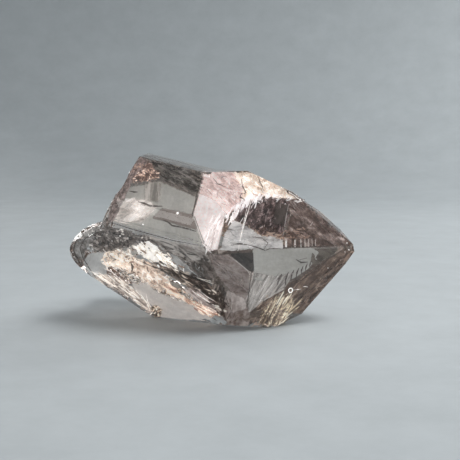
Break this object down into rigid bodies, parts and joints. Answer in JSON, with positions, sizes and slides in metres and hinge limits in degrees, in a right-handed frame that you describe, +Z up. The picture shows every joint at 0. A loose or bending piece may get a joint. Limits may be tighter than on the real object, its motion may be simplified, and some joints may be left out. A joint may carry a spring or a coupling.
{
  "type": "smoky quartz crystal",
  "caption": "Short, six-sided smoky quartz point with a broken end, lying on a flat underside, used as a display or scene-dressing stone.",
  "frame": {"origin": "middle of the crystal's outline, on the level surface that it rests on", "axes": "+X towards the crystal's tip, along its longest extent; +Y to its back; +Z up"},
  "size_m": [0.0701, 0.0473, 0.0417],
  "materials": {
    "quartz": "clear smoky brown crystal, glossy growth faces"
  },
  "bodies": {
    "root": {"smoky_quartz_crystal": "quartz"}
  },
  "joints": []
}
